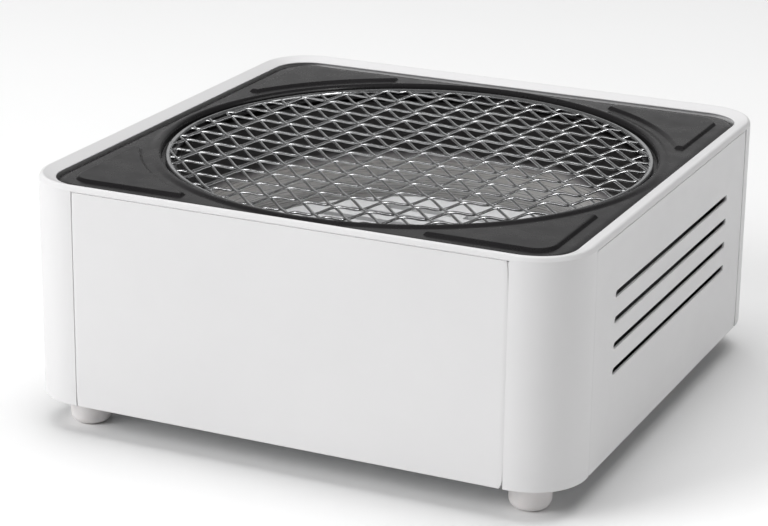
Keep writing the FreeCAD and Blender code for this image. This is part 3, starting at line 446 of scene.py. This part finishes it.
def side_panel(name, turn, vented, node):
    b = Builder()
    low, high = BOTTOM + 0.05, RIM_FOOT - 0.02
    face = -162.38
    levels = [0.0, 1.0, 2.0, 3.0, 4.5, 6.5, 9.0, 12.0, 16.0, 22.0, 32.0, 46.0]
    insets = [2.4, 1.9, 1.4, 0.95, 0.55, 0.25, 0.08, 0.0]
    steps = len(insets) - 1

    def ring_at(inset, y=None):
        """The panel's outline at a distance from its edge, where it falls away."""
        z0, z1 = low + 0.3 * inset, high - 0.15 * inset
        if y is None:
            y = face + 0.30 * (1 - inset / 2.4) ** 2 + (0.12 if inset == 0.0 else 0.03 if inset < 0.1 else 0.0)
        column = []
        for d in levels:
            column.append((z0 + d, 0.01 + 2.0 * math.exp(-d / 3.2)))
        for d in reversed(levels):
            column.append((z1 - d, 0.01 + 1.3 * math.exp(-d / 6.5)))
        right = [(SEAM - gap - inset, y, z) for z, gap in column]
        tight = 1.0 if vented else 0.3
        left = [(inset - SEAM + 0.01 + tight * (gap - 0.01), y, z) for z, gap in column]
        return b.loop(right + left[::-1])

    rings = [ring_at(inset) for inset in insets]
    back_ring = ring_at(0.0, -161.0)
    for k in range(steps):
        b.bridge(rings[k], rings[k + 1])
    b.bridge(rings[-1], back_ring)
    fronts, backs = [rings[0]], [back_ring]
    if vented:
        for cz in SLOT_LEVELS:
            r = 0.55
            ring = []
            for k in range(6):
                a = math.radians(18 * k)
                grow = r * (1 - math.sin(a))
                ring.append(b.loop(stadium(cz, 96.0 + grow, 1.8 + grow, face + r * (1 - math.cos(a)))))
            ring.append(b.loop(stadium(cz, 96.0, 1.8, -161.0)))
            for k in range(6):
                b.bridge(ring[k], ring[k + 1])
            fronts.append(ring[0])
            backs.append(ring[-1])
    b.fill(fronts)
    b.fill(backs)
    # laps behind the posts, and the flange under the base tray
    def block(x0, x1, y0, y1, z0, z1):
        v = b.loop([(x0, y0, z0), (x1, y0, z0), (x1, y1, z0), (x0, y1, z0),
                    (x0, y0, z1), (x1, y0, z1), (x1, y1, z1), (x0, y1, z1)])
        for f in ((0, 1, 2, 3), (4, 5, 6, 7), (0, 1, 5, 4), (1, 2, 6, 5), (2, 3, 7, 6), (3, 0, 4, 7)):
            b.faces.append(tuple(v[k] for k in f))
    for sx in (-1, 1):
        block(*sorted((sx * 126.5, sx * 131.4)), -161.55, -160.1, BOTTOM + 4.4, 141.8)
    block(-113.0, 113.0, -161.1, -149.2, BOTTOM + 0.3, BOTTOM + 1.2)
    rot = Matrix.Rotation(math.radians(turn), 3, "Z")
    b.verts = [tuple(rot @ Vector(v)) for v in b.verts]
    return b.make(name, WHITE, "housing", (node,))


# --------------------------------------------------------------- grill plate
def plate_square(half, z, corner=21.1, n=24, straight=36):
    """The plate's outline, anticlockwise from the middle of the +X side, with
    polar spacing that a circle can follow."""
    c = half - corner
    points = []
    for q in range(4):
        a = math.radians(90 * q)
        quarter = [(half, c * k / straight) for k in range(straight)]
        quarter += arc(c, c, corner, 0, 90, n)
        quarter += [(c * (1 - k / straight), half) for k in range(1, straight)]
        points += [(x * math.cos(a) - y * math.sin(a), x * math.sin(a) + y * math.cos(a), z) for x, y in quarter]
    return points


def plate_circle(radius, z):
    points = []
    for x, y, _ in plate_square(151.6, 0.0):
        d = math.hypot(x, y)
        points.append((radius * x / d, radius * y / d, z))
    return points


def offset_outline(points, d):
    """Moves a closed anticlockwise outline inwards by d along its vertex normals."""
    out = []
    n = len(points)
    for i in range(n):
        (x0, y0), (x1, y1), (x2, y2) = points[i - 1], points[i], points[(i + 1) % n]
        a = Vector((x1 - x0, y1 - y0)).normalized()
        c = Vector((x2 - x1, y2 - y1)).normalized()
        na, nc = Vector((-a.y, a.x)), Vector((-c.y, c.x))
        m = (na + nc).normalized()
        m = m / max(0.3, m.dot(na))
        out.append((x1 + m.x * d, y1 + m.y * d))
    return out


def round_corner(a, corner, c, r, n=6):
    """Points of the arc that rounds the corner between two directions."""
    p, u, v = Vector(corner), (Vector(a) - Vector(corner)).normalized(), (Vector(c) - Vector(corner)).normalized()
    half = 0.5 * math.acos(max(-1, min(1, u.dot(v))))
    t = r / math.tan(half)
    centre = p + (u + v).normalized() * (r / math.sin(half))
    start, end = p + u * t, p + v * t
    a0 = math.atan2(start.y - centre.y, start.x - centre.x)
    a1 = math.atan2(end.y - centre.y, end.x - centre.x)
    while a1 - a0 > math.pi:
        a1 -= 2 * math.pi
    while a1 - a0 < -math.pi:
        a1 += 2 * math.pi
    return [(centre.x + r * math.cos(a0 + (a1 - a0) * k / n), centre.y + r * math.sin(a0 + (a1 - a0) * k / n)) for k in range(n + 1)]


def corner_pad_outline():
    """The foot of the raised pad in the +X +Y corner, anticlockwise."""
    half, inner, end, corner, tip = 142.8, 153.4, 70.8, 13.0, 2.4
    shoulder = math.sqrt(inner * inner - end * end)
    pts = []
    pts += round_corner((shoulder, end), (half, end), (half, 100.0), tip)           # tip on the +X side
    pts += arc(half - corner, half - corner, corner, 0, 90, 20)
    pts += round_corner((100.0, half), (end, half), (end, shoulder), tip)           # tip on the +Y side
    a1 = math.degrees(math.atan2(shoulder, end))
    a0 = math.degrees(math.atan2(end, shoulder))
    hollow = arc(0, 0, inner, a1, a0, 36)
    pts += round_corner((end, half), (end, shoulder), hollow[2], tip * 0.9)
    pts += hollow[2:-2]
    pts += round_corner(hollow[-3], (shoulder, end), (half, end), tip * 0.9)
    return pts


def rolled(points, lift):
    """Sets each point's level: the sheet rolls down towards the plate's edge."""
    out = []
    for x, y, _ in points:
        px, py = abs(x) - 130.5, abs(y) - 130.5
        edge = 21.1 - math.hypot(px, py) if px > 0 and py > 0 else 151.6 - max(abs(x), abs(y))
        out.append((x, y, lift - 1.0 * max(0.0, 1 - edge / 4.5) ** 2))
    return out


def outside(half, radius, lift):
    """The plate's outline at a half width, kept outside a circle."""
    out = []
    for x, y, _ in plate_square(half, 0.0, corner=21.1 - (151.6 - half)):
        d = math.hypot(x, y)
        grow = max(1.0, radius / d)
        out.append((x * grow, y * grow, 0.0))
    return rolled(out, lift)


def grill_plate():
    b = Builder()
    S, C = plate_square, plate_circle

    def lip(radius, z):
        return rolled(C(radius, 0.0), z)

    stack = [S(151.6, 134.4), S(151.6, 140.4)]
    stack += [S(x, z, corner=21.1 - (151.6 - x)) for x, z in arc(150.5, 140.52, 1.1, 12, 69, 5)]
    stack += [outside(half, 150.5 - 0.01 * k, 142.2) for k, half in enumerate((150.4, 149.9, 149.4, 148.8, 148.2, 147.6, 147.1))]
    stack += [lip(150.4, 142.2), lip(149.7, 142.23), lip(149.0, 142.36), lip(148.2, 142.62), lip(147.4, 142.92), lip(146.7, 143.14),
              lip(146.1, 143.26), lip(145.5, 143.3)]
    stack += [C(x, z) for x, z in arc(145.3, 140.8, 2.5, 88, 180, 11)]
    stack += [C(142.8, 138.6)] + [C(x, z) for x, z in arc(142.2, 138.5, 0.6, 0, -90, 4)[1:]]
    stack += [C(135.3, 137.9)] + [C(x, z) for x, z in arc(135.1, 137.3, 0.6, 90, 180, 4)]
    stack += [C(134.5, 136.7), C(144.1, 136.7), C(144.3, 140.6), C(145.6, 141.9), lip(147.2, 141.7), lip(149.4, 141.0)]
    stack += [outside(half, 149.5 + 0.01 * k, 141.0) for k, half in enumerate((146.6, 148.2, 149.4))]
    stack += [S(150.4, 139.6, corner=19.9), S(150.4, 134.4, corner=19.9)]
    loops = [b.loop(points) for points in stack]
    for k in range(len(loops)):
        b.bridge(loops[k], loops[(k + 1) % len(loops)])
    # raised corner pads, pressed up from the sheet
    foot = corner_pad_outline()
    # depth inwards and level: hollow foot, slope, rounded shoulder, flat top
    section = [(0.0, 142.12), (0.25, 142.22), (0.5, 142.38), (0.8, 142.64), (1.2, 143.02), (1.6, 143.40), (1.9, 143.61), (2.2, 143.74), (2.5, 143.79), (2.8, 143.80)]
    for q in range(4):
        a = math.radians(90 * q)
        rings = []
        for d, z in section:
            ring = offset_outline(foot, d)
            rings.append(b.loop([(x * math.cos(a) - y * math.sin(a), x * math.sin(a) + y * math.cos(a), z) for x, y in ring]))
        base = b.loop([(b.verts[k][0], b.verts[k][1], 141.4) for k in rings[0]])
        b.bridge(base, rings[0])
        b.fill([base])
        for k in range(len(rings) - 1):
            b.bridge(rings[k], rings[k + 1])
        b.fill([rings[-1]])
    return b.make("pressed_grill_plate", BLACK, "grill_plate", ("grill_plate",), sharp=60.0)


# ------------------------------------------------------------------ wire mesh
PITCH, WIRE_R, MESH_R, MESH_Z = 13.7, 0.82, 139.0, 139.7


def tube(b, line, radius, sides=10):
    """A round tube along a line of points, closed at both ends."""
    rings = []
    up = Vector((0, 0, 1))
    for i, p in enumerate(line):
        before, after = line[max(i - 1, 0)], line[min(i + 1, len(line) - 1)]
        along = (Vector(after) - Vector(before)).normalized()
        side = along.cross(up).normalized()
        over = side.cross(along)
        rings.append(b.loop([tuple(Vector(p) + radius * (math.cos(2 * math.pi * k / sides) * side + math.sin(2 * math.pi * k / sides) * over))
                             for k in range(sides)]))
    for k in range(len(rings) - 1):
        b.bridge(rings[k], rings[k + 1])
    b.faces.append(tuple(rings[0]))
    b.faces.append(tuple(rings[-1]))


def woven_wires(name, direction, sign, lift, node):
    """Twenty crimped wires that run one way; the other set crosses over and under."""
    b = Builder()
    turn = math.radians(direction)
    for k in range(-10, 10):
        off = (k + 0.5) * PITCH
        reach = math.sqrt(138.4 ** 2 - off ** 2)
        count = max(6, int(2 * reach / (PITCH / 14)))
        line = []
        for i in range(count + 1):
            along = -reach + 2 * reach * i / count
            edge = min(1.0, (reach - abs(along)) / 9.0)
            wave = math.sin(math.pi * along / PITCH)
            z = MESH_Z + sign * lift * (-1) ** k * wave * edge * edge * (3 - 2 * edge)
            line.append((along * math.cos(turn) - off * math.sin(turn), along * math.sin(turn) + off * math.cos(turn), z))
        tube(b, line, WIRE_R)
    return b.make(name, WIRE, "wire_mesh", (node,), sharp=50.0, weighted=False)


def mesh_ring():
    b = Builder()
    loops = []
    for r, z in arc(MESH_R, MESH_Z, 1.5, 0, 360, 18)[:-1]:
        loops.append(b.loop([(r * math.cos(2 * math.pi * k / 240), r * math.sin(2 * math.pi * k / 240), z) for k in range(240)]))
    for k in range(len(loops)):
        b.bridge(loops[k], loops[(k + 1) % len(loops)])
    # the weld that closes the ring, a low swelling on the wire
    loops = []
    for i in range(13):
        t = i / 12
        a = math.radians(200 + 2.2 * (t - 0.5))
        swell = 1.5 + 0.22 * math.sin(math.pi * t) + 0.01
        loops.append(b.loop([((MESH_R + swell * math.cos(u)) * math.cos(a), (MESH_R + swell * math.cos(u)) * math.sin(a), MESH_Z + swell * math.sin(u))
                             for u in (2 * math.pi * k / 18 for k in range(18))]))
    for k in range(12):
        b.bridge(loops[k], loops[k + 1])
    b.faces.append(tuple(loops[0]))
    b.faces.append(tuple(loops[-1]))
    return b.make("mesh_rim_ring", WIRE, "wire_mesh", ("mesh_ring",), sharp=50.0, weighted=False)


# ---------------------------------------------------------------------- feet
def foot(name, x, y, node):
    b = Builder()
    profile = [(2.3, 8.0)] + [(5.2, 8.0), (5.2, 0.5)] + arc(5.7, 0.5, 0.5, 180, 270, 3)[1:]
    profile += arc(6.2, 5.4, 5.4, 270, 360, 10) + [(11.75, 9.0), (12.0, 12.0), (12.25, 15.0)]
    profile += [(12.4, 17.6), (12.4, 19.0), (2.3, 19.0)]
    loops = [b.loop([(x + r * math.cos(2 * math.pi * k / 64), y + r * math.sin(2 * math.pi * k / 64), z) for k in range(64)]) for r, z in profile]
    for k in range(len(loops)):
        b.bridge(loops[k], loops[(k + 1) % len(loops)])
    return b.make(name, RUBBER, "housing", (node,), sharp=50.0)


rim_and_posts()
side_panel("front_panel_skin", 0, False, "front_panel")
side_panel("right_panel_skin", 90, True, "right_side_panel")
side_panel("rear_panel_skin", 180, False, "rear_panel")
side_panel("left_panel_skin", 270, True, "left_side_panel")
grill_plate()
mesh_ring()
woven_wires("woven_wires_a", -45.0, 1.0, 0.34, "mesh_wires_upper")
woven_wires("woven_wires_b", 45.0, -1.0, 1.32, "mesh_wires_lower")
for tag, sx, sy in (("front_left", -1, -1), ("front_right", 1, -1), ("rear_left", -1, 1), ("rear_right", 1, 1)):
    foot("rubber_foot_" + tag, 134.0 * sx, 137.0 * sy, "foot_" + tag)


# ------------------------------------------------------- floor, light, camera
floor_mesh = bpy.data.meshes.new("floor")
size = 9.0
floor_mesh.from_pydata([(-size, -size, 0), (size, -size, 0), (size, size, 0), (-size, size, 0)], [], [(0, 1, 2, 3)])
floor = bpy.data.objects.new("floor", floor_mesh)
floor_mesh.materials.append(FLOOR)
scene.collection.objects.link(floor)


def softbox(name, place, target, width, height, power, diffuse=True, glossy=True, up=None):
    data = bpy.data.lights.new(name, "AREA")
    data.shape = "RECTANGLE"
    data.size, data.size_y = width, height
    data.energy = power
    lamp = bpy.data.objects.new(name, data)
    scene.collection.objects.link(lamp)
    lamp.location = place
    lamp.rotation_euler = (Vector(target) - Vector(place)).to_track_quat("-Z", "Y").to_euler()
    if up is not None:
        out = (Vector(place) - Vector(target)).normalized()
        high = (Vector(up) - out * out.dot(Vector(up))).normalized()
        side = high.cross(out)
        lamp.rotation_euler = Matrix((side, high, out)).transposed().to_euler()
    lamp.visible_camera = False
    lamp.visible_diffuse, lamp.visible_glossy = diffuse, glossy
    return lamp


softbox("key_left", (-2.2, -2.4, 1.7), (0, 0, 0.08), 2.0, 2.0, 99.0, glossy=False)
softbox("overhead", (0.0, 0.3, 3.0), (0, 0, 0.08), 3.2, 3.2, 90.0, glossy=False)
softbox("fill_right", (3.2, 0.2, 1.2), (0, 0, 0.08), 2.0, 2.0, 16.8)
softbox("kicker", (2.08, -0.87, 1.44), (0, 0, 0.14), 0.36, 1.3, 10.0, diffuse=False, up=(-0.375, 0.375, 0.848))
softbox("backdrop", (-1.18, 2.58, 1.12), (0, 0, 0.14), 3.4, 1.15, 4.5, diffuse=False)
world = bpy.data.worlds.new("studio")
scene.world = world
world.use_nodes = True
world.node_tree.nodes["Background"].inputs[0].default_value = (1.0, 1.0, 1.0, 1.0)
world.node_tree.nodes["Background"].inputs[1].default_value = 0.05
scene.view_settings.view_transform = "Standard"
scene.view_settings.look = "None"

camera_data = bpy.data.cameras.new("camera")
camera_data.lens = 2497.12 * 36.0 / 768.0
camera_data.sensor_width = 36.0
camera_data.sensor_fit = "HORIZONTAL"
camera_data.clip_start, camera_data.clip_end = 0.05, 60.0
camera = bpy.data.objects.new("camera", camera_data)
scene.collection.objects.link(camera)
back = Vector((0.3944, -0.8606, 0.3221)).normalized()
right = Vector((0.9073, 0.4205, 0.01255))
right = (right - back * right.dot(back)).normalized()
up = back.cross(right)
camera.matrix_world = Matrix(((right.x, up.x, back.x, 0.56446), (right.y, up.y, back.y, -1.26497),
                              (right.z, up.z, back.z, 0.54383), (0, 0, 0, 1)))
scene.camera = camera
